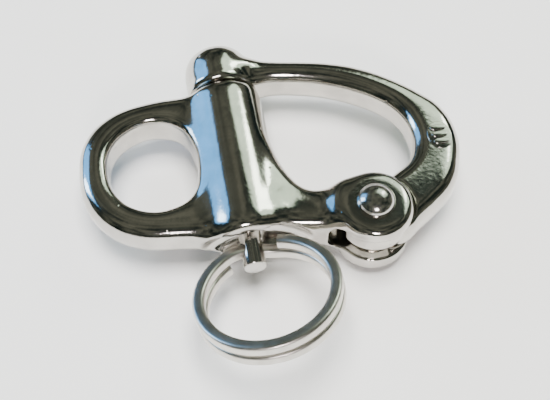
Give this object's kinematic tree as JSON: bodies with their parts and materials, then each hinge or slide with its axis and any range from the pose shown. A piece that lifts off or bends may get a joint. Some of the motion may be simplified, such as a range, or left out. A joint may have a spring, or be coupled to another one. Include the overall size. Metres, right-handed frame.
{
  "type": "fixed eye snap shackle",
  "caption": "Stainless fixed-eye snap shackle: a bow swings on a riveted fork and is locked by a spring plunger with a split-ring pull.",
  "frame": {"origin": "centre of the fixed eye's hole, on the mid-plane of the shackle", "axes": "+X along the shackle from the fixed eye to the bow's load end, +Y along the plunger barrel towards the bow's free end, +Z across the thickness, upwards"},
  "size_m": [0.0682, 0.0657, 0.0182],
  "materials": {
    "cast_stainless": "mirror-polished cast stainless steel with slight waviness and a few casting pits",
    "rivet_steel": "polished stainless rivet heads, lightly hammered",
    "turned_steel": "turned and polished stainless bar",
    "spring_wire": "drawn stainless spring wire",
    "ring_wire": "polished stainless wire with cut ends"
  },
  "bodies": {
    "frame": {"body_casting": "cast_stainless", "hinge_rivet": "rivet_steel", "plunger_spring": "spring_wire"},
    "bow": {"bow": "cast_stainless"},
    "plunger": {"plunger_pin": "turned_steel"},
    "ring": {"split_ring": "ring_wire"}
  },
  "joints": [
    {"name": "bow_swing", "type": "hinge", "parent": "frame", "child": "bow", "pos_m": [0.0363, -0.0159, 0], "axis": [0, 0, -1], "range_deg": [0, 104]},
    {"name": "plunger_lock", "type": "slide", "parent": "frame", "child": "plunger", "axis": [0, 1, 0], "range_m": [0, 0.0016], "stiffness_N_per_m": 1500, "springref_m": 0.005, "deforming": ["plunger_spring"]},
    {"name": "ring_swing", "type": "hinge", "parent": "plunger", "child": "ring", "pos_m": [0.0146, -0.0183, 0], "axis": [0.9677, 0, -0.2521], "range_deg": [0, 40]}
  ]
}
